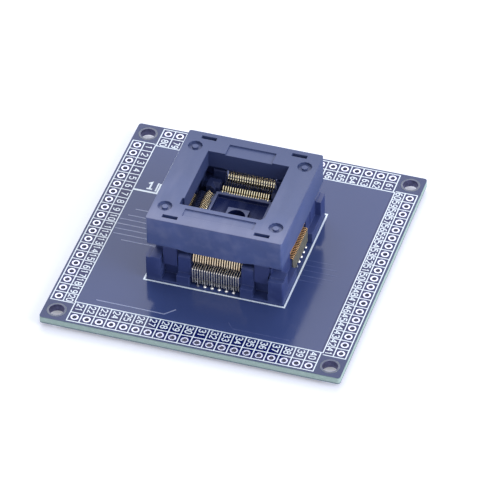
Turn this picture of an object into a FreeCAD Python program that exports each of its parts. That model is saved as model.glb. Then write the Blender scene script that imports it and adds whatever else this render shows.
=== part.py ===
import FreeCAD, Part
import math
import os

# Adapter board for programming an 80 lead quad flat package. An open-top socket is soldered
# to the middle of a square board, and four single rows of holes stand round the board's edge.
# Pressing the socket's cover down turns all contact arms outwards, so that a package can be
# dropped in or lifted out. Springs push the cover back up, and the arms close on the leads.
#
# Every shape is first drawn with z = 0 on the board's top face, +X along the front row of
# holes and +Y to the back. The last step lifts all of them until the contact tails, which
# stand out below the board, end at z = 0. Lengths are in millimetres. A radius of a contact
# is its distance from the socket's centre line, and a side shape is drawn on the front side.

# Board. All header rows lie on one square grid.
board_thickness = 1.6
board_edge_margin = 1.79
board_corner_radius = 0.6
mount_hole_inset = 1.01
mount_hole_diameter = 3.2
header_spacing = 2.54
header_count = 20
header_corner_steps = 2
header_hole_diameter = 1.0
header_hole_sides = 8

# Package that the socket takes
lead_spacing = 0.5
leads_per_side = 20
lead_length = 1.0
package_body = 12.0
package_clearance = 0.15

# Travel of the cover. The arms turn by 12 degrees over it.
cover_travel = 3.0

# Fixed halves of the contacts, stamped from sheet and set on edge
contact_sheet = 0.22
strip_width = 0.26
leg_reach = 2.75
tail_row_step = 1.25
tail_rows = 3
tail_hole_clearance = 0.03
tail_below_board = 0.9
tail_jog_height = 0.78
run_height = 4.2
anchor_inner_width = 0.7
anchor_outer_width = 0.5
anchor_height = 1.6

# Contact arms, each with a claw over the lead, a hump below the cam and a lever outside
claw_tip_rise = 2.65
claw_bite = 0.55
claw_slope = 1.0
claw_top_rise = 0.75
claw_top_reach = 0.7
claw_back_reach = 1.5
claw_back_drop = 0.5
flexure_reach = 3.6
flexure_gap = 0.07
flexure_width = 0.34
valley_inset = 1.1
valley_drop = 1.25
hump_inset = 0.1
hump_width = 0.8
hump_rise = 1.65
hump_web = 0.9
shoulder_drop = 1.8
lever_gap = 0.65
lever_width = 0.35
lever_length = 3.0

# Socket base
base_margin = 0.95
base_plate_height = 2.4
base_body_height = 5.0
base_floor = 1.6
base_edge_radius = 0.4
skirt_clearance = 0.3
corner_block_size = 3.1
corner_pad_height = 0.3
skirt_stop_gap = 0.15
window_end_gap = 0.44
window_wall_clearance = 0.2
window_wall_depth = 1.7
window_wall_round = 0.8
side_wall_height = 7.0
comb_bar_bottom = 1.5
comb_gap = 0.12
slot_clearance = 0.06
leg_gap = 0.24
well_clearance = 0.2
guide_clearance = 0.15
guide_width = 1.0
guide_rise = 1.45
guide_lead_in = 0.8
peg_inset = 2.0
peg_diameter = 1.4
peg_length = 1.9
peg_clearance = 0.1
peg_sides = 8

# Chip seat
seat_drop = 0.1
seat_rim_inset = 0.1
seat_rim_width = 0.5
seat_rim_depth = 1.05
seat_ledge_inset = 0.35
seat_ledge_drop = 0.35
seat_boss_half = 2.25
seat_boss_drop = 0.2
seat_hole_diameter = 3.7
seat_shell = 1.2

# Cover
cover_inset = 0.25
cover_rise = 5.85
cover_plate = 2.05
cover_wall = 0.85
cover_edge_radius = 0.45
skirt_depth = 4.6
skirt_middle_drop = 0.4
skirt_middle_margin = 0.3
skirt_slope_length = 2.6
opening_side_margin = 1.5
opening_back_margin = 1.8
opening_front_margin = 1.25
opening_chamfer = 0.7
opening_notch_depth = 0.4
opening_notch_length = 1.9
opening_wall_margin = 2.6
opening_wall_length = 1.9
cam_end_gap = 0.15
cam_inner_length = 1.45
cam_nose_inset = 0.6
cam_nose_lift = 0.65
cam_nose_width = 0.12
cam_nose_rise = 0.55
cam_root_width = 0.7
back_panel_half = 4.9
back_panel_inset = 2.2
back_panel_depth = 0.3
front_panel_half = 7.35
front_panel_margin = 1.0
front_panel_inset = 2.55
front_panel_depth = 0.25

# Springs, with the towers and posts that hold them and the marks above them
spring_outer_radius = 1.15
spring_wire = 0.3
spring_turns = 4
spring_sides = 6
spring_seat = 2.0
spring_pocket_clearance = 0.1
spring_post_clearance = 0.1
spring_post_length = 1.2
spring_post_rib = 0.5
tower_wall = 0.35
tower_clearance = 0.13
tower_stop_gap = 0.5
mark_radius = 1.45
mark_depth = 0.5
mark_boss_radius = 0.6
mark_boss_drop = 0.1
mark_sides = 12

# Hooks that hold the cover down against the springs, and the slots moulded above them
hook_width = 2.9
hook_thickness = 0.85
hook_length = 5.4
hook_root_drop = 1.1
barb_depth = 0.5
barb_height = 0.7
hook_clearance = 0.15
hook_floor_gap = 0.4
catch_gap = 0.12
track_gap = 0.12
slot_length = 3.15
slot_width = 0.9
slot_overhang = 0.25

SIDES = {"front": 0.0, "right": 90.0, "back": 180.0, "left": 270.0}
ROWS = ("outer", "middle", "inner")

# Length that cutting tools run past the faces they cut, and tolerance for finding an edge
overrun = 1.0
same_place = 0.001

# Board sizes that follow from the ones above
board_top = board_thickness + tail_below_board
header_row_half = (header_count - 1) * header_spacing / 2.0
header_row_place = header_row_half + header_corner_steps * header_spacing
mount_hole_place = header_row_place - mount_hole_inset
board_half = header_row_place + board_edge_margin

# Contact sizes that follow, outwards from the package's body
lead_end = package_body / 2.0 + lead_length
row_half = ((leads_per_side - 1) * lead_spacing + contact_sheet) / 2.0
window_half = row_half + window_end_gap
flexure_radius = lead_end + flexure_reach
anchor_inner_radius = flexure_radius - anchor_inner_width
anchor_outer_radius = flexure_radius + anchor_outer_width
anchor_top = run_height + anchor_height
leg_radius = flexure_radius + leg_reach
hump_radius = flexure_radius - hump_inset
claw_tip_height = anchor_top + claw_tip_rise
hump_height = claw_tip_height + hump_rise

# Plan sizes of the base and the cover that follow, inwards from the contacts' legs
base_half = leg_radius + base_margin
cover_half = base_half - cover_inset
cavity_half = cover_half - cover_wall
body_half = cavity_half - skirt_clearance
block_inner = base_half - corner_block_size
window_wall_outer = cavity_half - window_wall_clearance
guide_outer = lead_end + guide_width
peg_place = base_half - peg_inset
seat_rim_half = package_body / 2.0 - seat_rim_inset
tower_half = spring_outer_radius + spring_pocket_clearance + tower_wall
spring_x = cavity_half - tower_clearance - tower_half
spring_y = block_inner - tower_half
spring_places = {
    "front_left": (-spring_x, -spring_y),
    "front_right": (spring_x, -spring_y),
    "back_right": (spring_x, spring_y),
    "back_left": (-spring_x, spring_y),
}
hook_inner = cavity_half - hook_thickness
track_half = hook_width / 2.0 + hook_clearance
track_face = hook_inner - hook_clearance
hook_x = block_inner - track_gap - track_half
opening_front = lead_end + opening_front_margin
opening_back = lead_end + opening_back_margin
opening_side = lead_end + opening_side_margin

# Heights that follow
cover_top = hump_height + cover_rise
above_all = cover_top + overrun
cover_underside = cover_top - cover_plate
skirt_corner_bottom = cover_underside - skirt_depth
skirt_middle_bottom = skirt_corner_bottom - skirt_middle_drop
block_height = skirt_corner_bottom - cover_travel - skirt_stop_gap - corner_pad_height
tower_top = cover_underside - cover_travel - tower_stop_gap
hook_top = cover_underside - hook_root_drop
hook_bottom = skirt_corner_bottom - hook_length
track_floor = hook_bottom - cover_travel - hook_floor_gap
seat_top = claw_tip_height - seat_drop
seat_floor = seat_top - seat_rim_depth
guide_height = seat_top + guide_rise


def block(x0, x1, y0, y1, z0, z1):
    """Box between two corners."""
    return Part.makeBox(x1 - x0, y1 - y0, z1 - z0, FreeCAD.Vector(x0, y0, z0))


def square(half, z0, z1):
    """Square block on the centre line."""
    return block(-half, half, -half, half, z0, z1)


def side_block(start, end, near, far, z0, z1):
    """Box on the front side, given by its distances from the centre."""
    return block(start, end, -far, -near, z0, z1)


def rod(x, y, radius, z0, z1):
    """Upright round bar."""
    return Part.makeCylinder(radius, z1 - z0, FreeCAD.Vector(x, y, z0))


def upright_prism(points, z0, z1):
    """Plan outline, extruded upwards."""
    corners = [FreeCAD.Vector(x, y, z0) for x, y in points]
    return Part.Face(Part.makePolygon(corners + corners[:1])).extrude(FreeCAD.Vector(0, 0, z1 - z0))


def many_sided_rod(x, y, radius, sides, z0, z1):
    """Upright bar with flat sides round a circle, lighter than a round one where there are many."""
    corner_radius = radius / math.cos(math.pi / sides)
    angles = [2 * math.pi * (i + 0.5) / sides for i in range(sides)]
    points = [(x + corner_radius * math.cos(a), y + corner_radius * math.sin(a)) for a in angles]
    return upright_prism(points, z0, z1)


def side_prism(outline, start, end):
    """Outline of (radius, height) points, extruded along the front side."""
    corners = [FreeCAD.Vector(start, -radius, height) for radius, height in outline]
    face = Part.Face(Part.makePolygon(corners + corners[:1]))
    return face.extrude(FreeCAD.Vector(end - start, 0, 0))


def turned(shape, degrees):
    """Copy of a front side shape, turned about the centre line."""
    copy = shape.copy()
    copy.rotate(FreeCAD.Vector(0, 0, 0), FreeCAD.Vector(0, 0, 1), degrees)
    return copy


def on_all_sides(shape):
    """Four copies, one on each side."""
    return [turned(shape, degrees) for degrees in SIDES.values()]


def mirrored(shape):
    """Shape with its mirror image across the middle of the front side."""
    return [shape, shape.mirror(FreeCAD.Vector(0, 0, 0), FreeCAD.Vector(1, 0, 0))]


def front_and_back(shape):
    """Four copies: left and right of the middle, on the front and the back side."""
    pair = mirrored(shape)
    return pair + [turned(half, SIDES["back"]) for half in pair]


def upright_edges(shape, half, height):
    """Upright corner edges of a square block that are longer than a given height."""
    found = []
    for edge in shape.Edges:
        box = edge.BoundBox
        on_x = abs(abs(box.Center.x) - half) < same_place
        on_y = abs(abs(box.Center.y) - half) < same_place
        if on_x and on_y and box.ZLength > height:
            found.append(edge)
    return found


def lead_places():
    """Place of each lead along a side, with the number of its tail's row."""
    first = -(leads_per_side - 1) * lead_spacing / 2.0
    return [(first + i * lead_spacing, (tail_rows - 1 - i) % tail_rows) for i in range(leads_per_side)]


def header_places():
    """Places of the holes in the front row."""
    return [i * header_spacing - header_row_half for i in range(header_count)]


def tail_radius(row):
    """Distance of a row of tails from the centre."""
    return leg_radius - row * tail_row_step


def circuit_board():
    """Drilled laminate. Solder fills the tail holes, so they are drawn close round the tails."""
    plate = square(board_half, -board_thickness, 0)
    plate = plate.makeFillet(board_corner_radius, upright_edges(plate, board_half, board_thickness / 2.0))
    low = -board_thickness - overrun
    drills = []
    for sign_x in (-1, 1):
        for sign_y in (-1, 1):
            drills.append(rod(sign_x * mount_hole_place, sign_y * mount_hole_place,
                              mount_hole_diameter / 2.0, low, overrun))
    for sign in (-1, 1):
        radius = peg_diameter / 2.0 + peg_clearance
        drills.append(many_sided_rod(-sign * peg_place, sign * peg_place, radius, peg_sides, low, overrun))
    row_drills = []
    for place in header_places():
        row_drills.append(many_sided_rod(place, -header_row_place, header_hole_diameter / 2.0,
                                         header_hole_sides, low, overrun))
    across = contact_sheet / 2.0 + tail_hole_clearance
    along = strip_width / 2.0 + tail_hole_clearance
    for place, row in lead_places():
        radius = tail_radius(row)
        row_drills.append(side_block(place - across, place + across, radius - along, radius + along,
                                     low, overrun))
    for drill in row_drills:
        drills += on_all_sides(drill)
    return plate.cut(Part.Compound(drills))


def contact_tail_outline(row):
    """Fixed half of a contact: anchor, run over the comb bar, leg and tail."""
    half = strip_width / 2.0
    leg_out = leg_radius + half
    leg_in = leg_radius - half
    tail_out = tail_radius(row) + half
    tail_in = tail_radius(row) - half
    outline = [
        (anchor_inner_radius, anchor_top),
        (anchor_outer_radius, anchor_top),
        (anchor_outer_radius, run_height + half),
        (leg_out, run_height + half),
    ]
    if row > 0:
        outline += [
            (leg_out, tail_jog_height - half),
            (tail_out, tail_jog_height - half),
        ]
    outline += [(tail_out, -board_top), (tail_in, -board_top)]
    if row > 0:
        outline += [
            (tail_in, tail_jog_height + half),
            (leg_in, tail_jog_height + half),
        ]
    outline += [(leg_in, run_height - half), (anchor_inner_radius, run_height - half)]
    return outline


def contact_tails(row):
    """Tails of one row, as separate contacts side by side."""
    outline = contact_tail_outline(row)
    half = contact_sheet / 2.0
    return [side_prism(outline, place - half, place + half) for place, r in lead_places() if r == row]


def contact_arm_outline():
    """Moving half of a contact: flexure, claw over the lead, hump and lever."""
    foot = anchor_top + flexure_gap
    half = flexure_width / 2.0
    tip = lead_end - claw_bite
    lever = cavity_half - lever_gap
    shoulder = hump_height - shoulder_drop
    return [
        (flexure_radius - half, foot),
        (tip + claw_slope, claw_tip_height - claw_slope),
        (tip, claw_tip_height),
        (tip + claw_top_reach, claw_tip_height + claw_top_rise),
        (tip + claw_back_reach, claw_tip_height - claw_back_drop),
        (flexure_radius - valley_inset, claw_tip_height - valley_drop),
        (hump_radius, hump_height),
        (hump_radius + hump_width, hump_height),
        (lever, shoulder),
        (lever, shoulder - lever_length),
        (lever - lever_width, shoulder - lever_length),
        (hump_radius + lever_width, hump_height - hump_web),
        (flexure_radius + half, foot),
    ]


def contact_arms():
    """Arms of one side."""
    outline = contact_arm_outline()
    half = contact_sheet / 2.0
    return [side_prism(outline, place - half, place + half) for place, row in lead_places()]


def square_ring(half, z):
    """Square outline at a height, for a loft."""
    points = [(-half, -half), (half, -half), (half, half), (-half, half)]
    corners = [FreeCAD.Vector(x, y, z) for x, y in points]
    return Part.makePolygon(corners + corners[:1])


def guide_posts():
    """L-shaped posts with a lead-in, which centre the package by its corners."""
    inner = package_body / 2.0 + package_clearance
    start = window_half + guide_clearance
    posts = []
    for sign_x in (-1, 1):
        for sign_y in (-1, 1):
            x = sorted((sign_x * start, sign_x * guide_outer))
            y = sorted((sign_y * start, sign_y * guide_outer))
            posts.append(block(x[0], x[1], y[0], y[1], 0, guide_height))
    below = square_ring(inner, guide_height - guide_lead_in)
    above = square_ring(inner + guide_lead_in, guide_height)
    room = square(inner, -overrun, above_all).fuse(Part.makeLoft([below, above], True, True))
    return [post.cut(room) for post in posts]


def window_cuts():
    """Room for the contacts of one side in the base, with a comb bar left below their runs."""
    slot_in = anchor_inner_radius - slot_clearance
    bar_in = anchor_outer_radius + slot_clearance
    bar_out = leg_radius - strip_width / 2.0 - leg_gap
    bar_top = run_height - strip_width / 2.0 - comb_gap
    outside = base_half + overrun
    return [
        side_block(-window_half, window_half, slot_in, bar_in, -overrun, above_all),
        side_block(-window_half, window_half, slot_in, outside, -overrun, comb_bar_bottom),
        side_block(-window_half, window_half, bar_out, outside, -overrun, above_all),
        side_block(-window_half, window_half, slot_in, outside, bar_top, above_all),
    ]


def window_wall():
    """Wall beside the contacts, up to the hook's track, with a rounded outer top edge."""
    near = window_wall_outer - window_wall_depth
    end = hook_x - track_half
    wall = side_block(window_half, end, near, window_wall_outer, 0, side_wall_height)
    edges = []
    for edge in wall.Edges:
        box = edge.BoundBox
        along = box.XLength > (end - window_half) / 2.0
        outer = abs(box.YMin + window_wall_outer) < same_place
        if along and outer and box.ZMin > side_wall_height / 2.0:
            edges.append(edge)
    return wall.makeFillet(window_wall_round, edges)


def corner_block():
    """Stepped block at one corner of the base."""
    pad_end = base_half - corner_block_size / 3.0
    corner = block(block_inner, base_half, -base_half, -block_inner, 0, block_height)
    pad = block(block_inner, base_half, -pad_end, -block_inner, 0, block_height + corner_pad_height)
    corner = corner.fuse(pad).removeSplitter()
    return corner.makeFillet(base_edge_radius, upright_edges(corner, base_half, base_plate_height))


def catch_wall():
    """Wall that one hook grips, from its track to the corner block."""
    return side_block(hook_x - track_half, block_inner, spring_y - tower_half, track_face,
                      0, side_wall_height)


def hook_track():
    """Cuts in the base for one hook of the front side, at its right end."""
    left = hook_x - track_half
    right = hook_x + track_half
    groove = track_face - barb_depth
    groove_top = hook_bottom + barb_height + catch_gap
    outside = base_half + overrun
    return [
        side_block(left, right, track_face, outside, track_floor, above_all),
        side_block(left, right, groove, outside, track_floor, groove_top),
    ]


def socket_base():
    """Moulded body that carries the contacts, the springs and the chip seat."""
    plate = square(base_half, 0, base_plate_height)
    plate = plate.makeFillet(base_edge_radius, upright_edges(plate, base_half, base_plate_height / 2.0))
    well = square(lead_end + well_clearance, base_floor, above_all)
    base = plate.fuse(square(body_half, 0, base_body_height)).cut(well)
    additions = on_all_sides(corner_block()) + front_and_back(catch_wall())
    for wall in mirrored(window_wall()):
        additions += on_all_sides(wall)
    for x, y in spring_places.values():
        additions.append(block(x - tower_half, x + tower_half, y - tower_half, y + tower_half, 0, tower_top))
    for sign in (-1, 1):
        additions.append(many_sided_rod(-sign * peg_place, sign * peg_place, peg_diameter / 2.0,
                                        peg_sides, -peg_length, base_floor))
    base = base.fuse(additions)
    cuts = []
    for cut in window_cuts():
        cuts += on_all_sides(cut)
    for cut in hook_track():
        cuts += front_and_back(cut)
    pocket = spring_outer_radius + spring_pocket_clearance
    for x, y in spring_places.values():
        cuts.append(block(x - pocket, x + pocket, y - pocket, y + pocket, spring_seat, above_all))
    return base.cut(cuts).fuse(guide_posts()).removeSplitter()


def chip_seat():
    """Raised seat for the package, with a rim, ledges below the leads and a boss with a hole."""
    seat = square(seat_rim_half, base_floor, seat_top)
    seat = seat.cut(square(seat_rim_half - seat_rim_width, seat_floor, above_all))
    ledge = side_block(-window_half, window_half, seat_rim_half - seat_rim_width / 2.0,
                       lead_end - seat_ledge_inset, base_floor, claw_tip_height - seat_ledge_drop)
    boss = square(seat_boss_half, seat_floor - seat_shell / 2.0, seat_top - seat_boss_drop)
    seat = seat.fuse(on_all_sides(ledge) + [boss])
    seat = seat.cut(square(seat_rim_half - seat_shell, 0, seat_floor - seat_shell))
    return seat.cut(rod(0, 0, seat_hole_diameter / 2.0, 0, above_all)).removeSplitter()


def cover_skirt():
    """Outer wall of the cover on one side, a little deeper in its middle."""
    low_end = window_half + skirt_middle_margin
    slope_end = low_end + skirt_slope_length
    corners = [
        (-cover_half, skirt_corner_bottom), (-slope_end, skirt_corner_bottom),
        (-low_end, skirt_middle_bottom), (low_end, skirt_middle_bottom),
        (slope_end, skirt_corner_bottom), (cover_half, skirt_corner_bottom),
        (cover_half, cover_underside), (-cover_half, cover_underside),
    ]
    points = [FreeCAD.Vector(x, -cover_half, z) for x, z in corners]
    face = Part.Face(Part.makePolygon(points + points[:1]))
    return face.extrude(FreeCAD.Vector(0, cover_wall, 0))


def cam_bar():
    """Bar under the cover whose nose pushes the contact arms outwards."""
    nose = hump_radius - cam_nose_inset
    nose_height = hump_height + cam_nose_lift
    outline = [
        (opening_front, cover_underside - cam_inner_length),
        (nose, nose_height),
        (nose + cam_nose_width, nose_height + cam_nose_rise),
        (nose + cam_root_width, cover_underside),
        (opening_front, cover_underside),
    ]
    end = window_half - cam_end_gap
    return side_prism(outline, -end, end)


def cover_hook():
    """Hook at the right end of the front side, with its barb towards the base."""
    half = hook_width / 2.0
    barb = hook_inner - barb_depth
    outline = [
        (cavity_half, hook_top), (hook_inner, hook_top), (hook_inner, hook_bottom + barb_height),
        (barb, hook_bottom + barb_height), (barb, hook_bottom + barb_height / 2.0),
        (hook_inner, hook_bottom), (cavity_half, hook_bottom),
    ]
    return side_prism(outline, hook_x - half, hook_x + half)


def spring_post(x, y):
    """Two crossed ribs that stand in the top of a spring."""
    half = spring_post_rib / 2.0
    reach = spring_outer_radius - spring_wire - spring_post_clearance
    along = math.sqrt(reach ** 2 - half ** 2)
    low = cover_underside - spring_post_length
    return [
        block(x - along, x + along, y - half, y + half, low, cover_underside),
        block(x - half, x + half, y - along, y + along, low, cover_underside),
    ]


def cover_opening():
    """Hole in the cover, with a chamfered front right and a notched front left corner."""
    side = opening_side
    notch_x = -side - opening_notch_depth
    notch_y = -opening_front + opening_notch_length
    outline = [
        (notch_x, -opening_front), (side - opening_chamfer, -opening_front),
        (side, -opening_front + opening_chamfer), (side, opening_back), (-side, opening_back),
        (-side, notch_y), (notch_x, notch_y),
    ]
    return upright_prism(outline, 0, above_all)


def cover_slot():
    """Slot through the cover above the hook at the right end of the front side."""
    near = hook_inner - slot_overhang
    return side_block(hook_x - slot_length / 2.0, hook_x + slot_length / 2.0, near, near + slot_width,
                      hook_top, above_all)


def cover_mark(x, y):
    """Round mark in the cover above a spring, with a small boss in its middle."""
    floor = cover_top - mark_depth
    mark = many_sided_rod(x, y, mark_radius, mark_sides, floor, above_all)
    return mark.cut(many_sided_rod(x, y, mark_boss_radius, mark_sides, 0, cover_top - mark_boss_drop))


def socket_cover():
    """Cover that is pressed down to open the contacts."""
    plate = square(cover_half, cover_underside, cover_top)
    cover = plate.fuse(on_all_sides(cover_skirt())).removeSplitter()
    cover = cover.makeFillet(cover_edge_radius, upright_edges(cover, cover_half, cover_plate))
    ring = square(lead_end + opening_wall_margin, cover_underside - opening_wall_length, cover_underside)
    additions = [ring] + on_all_sides(cam_bar()) + front_and_back(cover_hook())
    for x, y in spring_places.values():
        additions += spring_post(x, y)
    cuts = [cover_opening()] + front_and_back(cover_slot())
    back_floor = cover_top - back_panel_depth
    cuts.append(block(-back_panel_half, back_panel_half, opening_back - overrun,
                      cover_half - back_panel_inset, back_floor, above_all))
    front_floor = cover_top - front_panel_depth
    cuts.append(side_block(-front_panel_half, front_panel_half, opening_front + front_panel_margin,
                           cover_half - front_panel_inset, front_floor, above_all))
    for x, y in spring_places.values():
        cuts.append(cover_mark(x, y))
    return cover.fuse(additions).cut(cuts).removeSplitter()


def spring(x, y):
    """Coil spring of square wire, as a chain of short straight stretches."""
    half = spring_wire / 2.0
    middle = spring_outer_radius - half
    count = spring_turns * spring_sides
    low = spring_seat + half
    rise = (cover_underside - half - low) / count
    rings = []
    for i in range(count + 1):
        angle = 2 * math.pi * i / spring_sides
        z = low + rise * i
        ring = []
        for out, up in ((-half, -half), (half, -half), (half, half), (-half, half)):
            radius = middle + out
            ring.append(FreeCAD.Vector(x + radius * math.cos(angle), y + radius * math.sin(angle), z + up))
        rings.append(ring)
    faces = []
    for end in (rings[0], rings[-1]):
        faces.append(Part.Face(Part.makePolygon(end + end[:1])))
    for this, following in zip(rings, rings[1:]):
        for i in range(4):
            j = (i + 1) % 4
            faces.append(Part.Face(Part.makePolygon([this[i], this[j], following[j], this[i]])))
            faces.append(Part.Face(Part.makePolygon([this[i], following[j], following[i], this[i]])))
    shell = Part.makeShell(faces)
    shell.sewShape()
    solid = Part.Solid(shell)
    if solid.Volume < 0:
        solid.reverse()
    return solid


def export(name, shapes):
    """Lift the shapes to their place in the finished part and write them as one file."""
    placed = shapes[0] if len(shapes) == 1 else Part.Compound(shapes)
    placed.translate(FreeCAD.Vector(0, 0, board_top))
    placed.exportStep("parts/" + name + ".step")


def build():
    """Write every piece."""
    os.makedirs("parts", exist_ok=True)
    export("circuit_board", [circuit_board()])
    export("socket_base", [socket_base()])
    export("chip_seat", [chip_seat()])
    export("socket_cover", [socket_cover()])
    for name, (x, y) in spring_places.items():
        export("cover_spring_" + name, [spring(x, y)])
    for side, degrees in SIDES.items():
        for row, row_name in enumerate(ROWS):
            tails = [turned(tail, degrees) for tail in contact_tails(row)]
            export("contact_tails_" + side + "_" + row_name, tails)
        export("contact_arms_" + side, [turned(arm, degrees) for arm in contact_arms()])


build()
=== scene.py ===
import math

import bmesh
import bpy
from mathutils import Matrix, Vector


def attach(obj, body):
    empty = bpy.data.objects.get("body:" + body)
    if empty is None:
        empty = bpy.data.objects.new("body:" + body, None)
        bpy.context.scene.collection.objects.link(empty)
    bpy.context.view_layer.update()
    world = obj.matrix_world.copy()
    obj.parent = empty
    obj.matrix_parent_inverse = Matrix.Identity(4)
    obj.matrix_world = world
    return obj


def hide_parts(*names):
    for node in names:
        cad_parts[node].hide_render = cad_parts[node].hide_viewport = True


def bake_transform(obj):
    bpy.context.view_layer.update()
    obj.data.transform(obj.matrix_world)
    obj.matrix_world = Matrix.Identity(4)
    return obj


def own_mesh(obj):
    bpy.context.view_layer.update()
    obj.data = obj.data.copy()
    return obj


# Looks of the programming adapter. Lengths are in millimetres from the board's middle and above
# its top face until they reach a mesh, and the mesh maker then turns them into metres in the frame
# of the solids. Places inside a material are in metres in that frame.

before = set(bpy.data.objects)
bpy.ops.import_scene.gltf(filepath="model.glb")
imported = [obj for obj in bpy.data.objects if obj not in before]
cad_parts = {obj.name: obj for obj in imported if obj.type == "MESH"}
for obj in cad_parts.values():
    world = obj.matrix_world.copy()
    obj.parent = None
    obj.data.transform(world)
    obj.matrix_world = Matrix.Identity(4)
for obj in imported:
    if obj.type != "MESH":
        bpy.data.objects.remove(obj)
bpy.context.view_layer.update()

MM = 0.001
BOARD = 1.6
# height of the board's top face over the tips of the solder tails
LIFT = 2.5

SIDES = {"front": (0, -1), "right": (1, 0), "back": (0, 1), "left": (-1, 0)}

# header holes, on lines at this distance from the middle
HEADER = 29.21
PITCH = 2.54
HOLES = 20
FIRST_HOLE = -24.13
CORNER_HOLE = 28.2

# contacts: place along their side, and row in which the tail lands
LEAD_PITCH = 0.5
LEADS = [(-4.75 + LEAD_PITCH * i, (2 - i) % 3) for i in range(20)]
ROWS = ("outer", "middle", "inner")
TAIL_RADII = (13.35, 12.1, 10.85)

SPRINGS = {
    "front_left": (-11.47, -9.6), "front_right": (11.47, -9.6),
    "back_right": (11.47, 9.6), "back_left": (-11.47, 9.6),
}


# Mesh maker

# narrowest cosine that a mitred corner is stretched by
MITRE = 0.5
# how far the top of a printed line is drawn in, as a share of half its width
INK_SLOPE = 0.12
# how far the top of a printed plate is drawn in
PLATE_SLOPE = 0.03


def between(p, q, share):
    """Point at a share of the way from one point to another."""
    return tuple(u + (v - u) * share for u, v in zip(p, q))


def circle(x, y, z, radius, sides):
    """Level ring of points."""
    turns = [2 * math.pi * i / sides for i in range(sides)]
    return [(x + radius * math.cos(a), y + radius * math.sin(a), z) for a in turns]


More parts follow.
